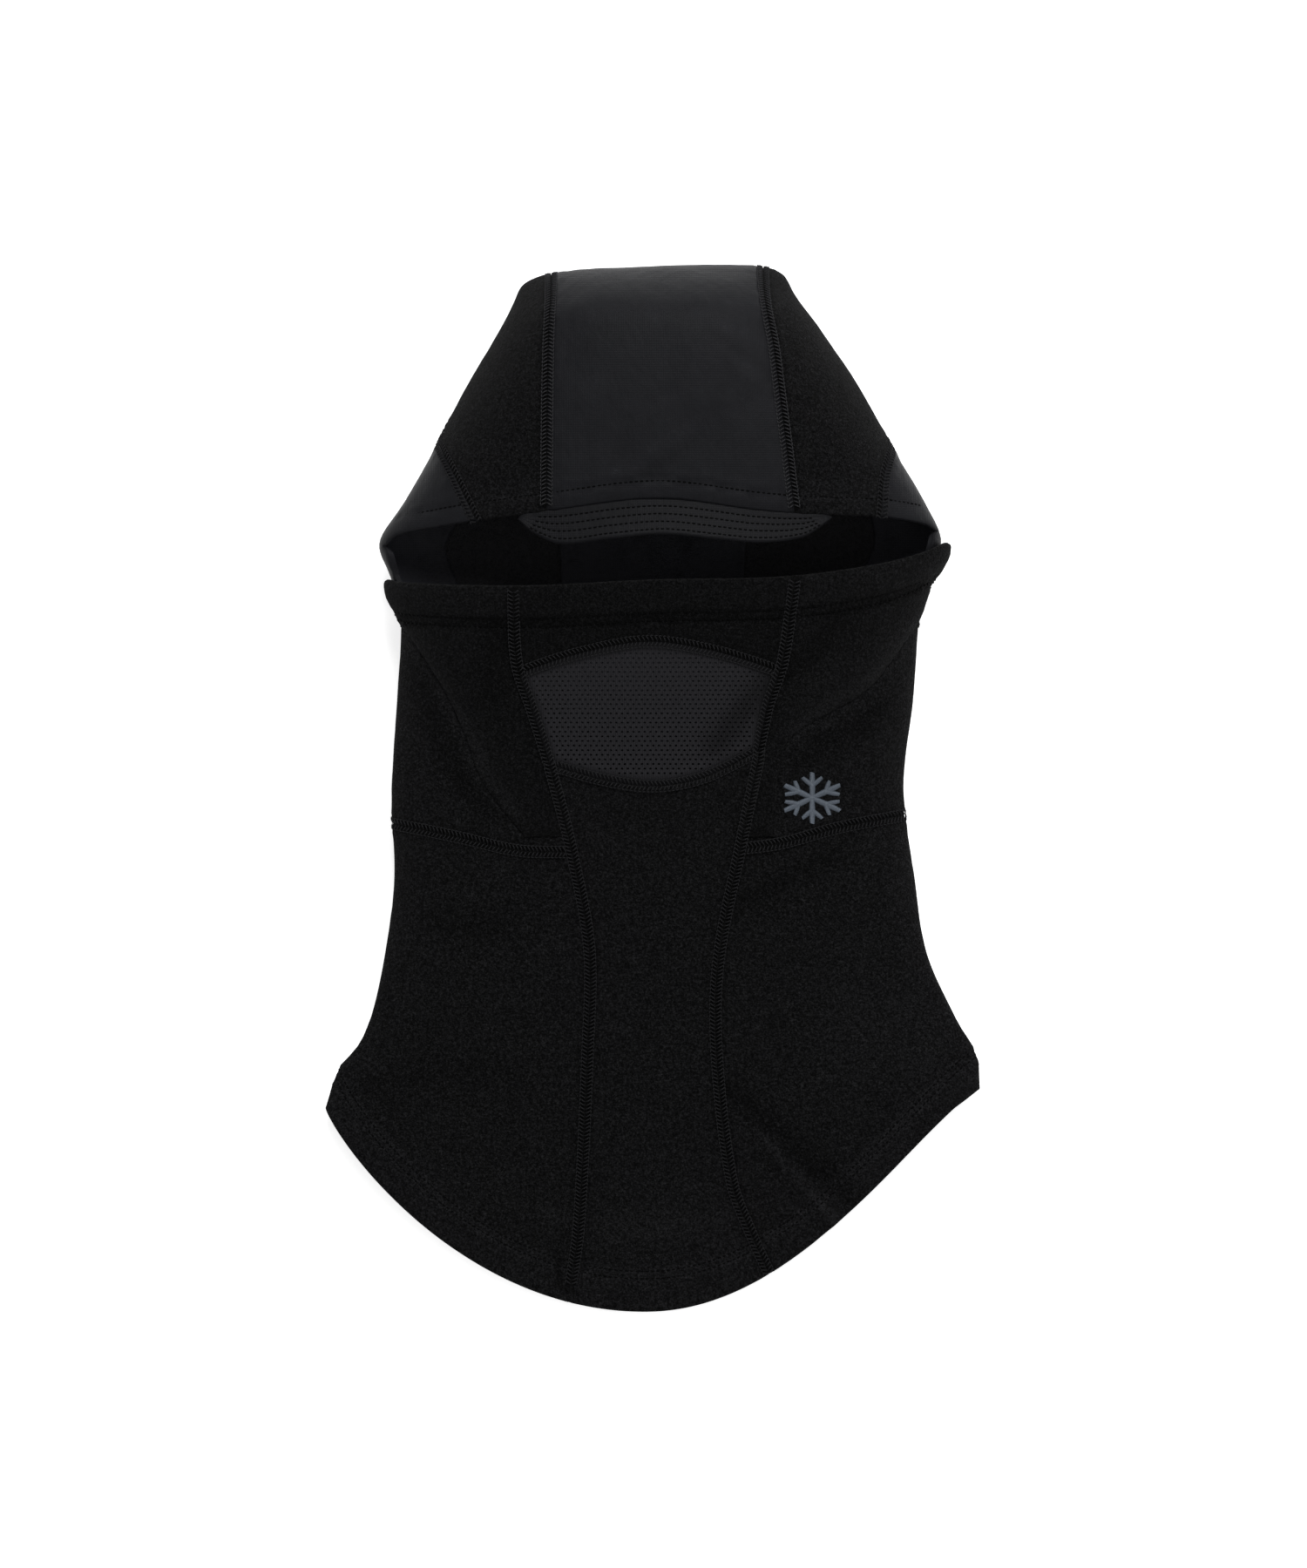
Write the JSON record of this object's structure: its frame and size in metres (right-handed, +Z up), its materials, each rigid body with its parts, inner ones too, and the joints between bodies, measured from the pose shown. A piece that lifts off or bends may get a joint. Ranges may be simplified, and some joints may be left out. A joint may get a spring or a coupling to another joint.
{
  "type": "balaclava",
  "caption": "Hooded fleece ski balaclava with a nylon crown panel, short stiffened brim, hinged face mask with a mesh breathing panel, and a flared neck gaiter.",
  "frame": {"origin": "bottom centre of the bounding box: on the table plane, under the middle of the garment's outline as it lies on its back", "axes": "+X to the right of the garment as seen from above, +Y from the hem to the crown, +Z up off the table, out of the face"},
  "size_m": [0.3012, 0.4804, 0.0664],
  "materials": {
    "fleece": "matte black brushed microfleece with a short dense pile",
    "nylon": "black fine plain-weave nylon with a low soft sheen",
    "netting": "charcoal warp-knit breathing mesh with rows of small holes",
    "thread": "black polyester sewing thread",
    "board": "thin flexible plastic stiffener, hidden inside the brim",
    "embroidery": "slate grey-blue satin-stitch embroidery",
    "label": "plain woven satin tab, left blank"
  },
  "bodies": {
    "hood": {"crown_center_panel": "nylon", "crown_side_left": "fleece", "crown_side_right": "fleece", "temple_panel_left": "nylon", "temple_panel_right": "nylon", "cheek_panel_left": "fleece", "cheek_panel_right": "fleece", "neck_side_left": "fleece", "neck_side_right": "fleece", "neck_back_panel": "fleece", "bib_lower_panel": "fleece", "crown_seam_thread_left": "thread", "crown_seam_thread_right": "thread", "temple_seam_thread_left": "thread", "temple_seam_thread_right": "thread", "neck_seam_thread_left": "thread", "neck_seam_thread_right": "thread", "bib_seam_thread_left": "thread", "bib_seam_thread_right": "thread", "brow_topstitch_thread": "thread", "hem_coverstitch_thread": "thread", "brow_facing": "nylon", "opening_facing_left": "nylon", "opening_facing_right": "nylon", "cheek_emblem": "embroidery", "neck_label": "label"},
    "mask": {"mask_top_panel": "fleece", "mask_net_panel": "netting", "mask_wing_left": "fleece", "mask_wing_right": "fleece", "mask_chin_panel": "fleece", "mask_seam_thread_left": "thread", "mask_seam_thread_right": "thread", "net_seam_thread_top": "thread", "net_seam_thread_bottom": "thread", "mask_hem_coverstitch_thread": "thread"},
    "brim": {"brim_upper_cover": "nylon", "brim_stiffener": "board", "brim_lower_cover": "nylon", "brim_stitch_row_1": "thread", "brim_stitch_row_2": "thread", "brim_stitch_row_3": "thread", "brim_stitch_row_4": "thread"}
  },
  "joints": [
    {"name": "mask_fold", "type": "hinge", "parent": "hood", "child": "mask", "pos_m": [0, -0.0222, 0.0325], "axis": [1, 0, 0], "range_deg": [0, 160]},
    {"name": "brim_flip", "type": "hinge", "parent": "hood", "child": "brim", "pos_m": [0, 0.126, 0.0605], "axis": [-1, 0, 0], "range_deg": [0, 100], "stiffness_Nm_per_rad": 0.004}
  ]
}
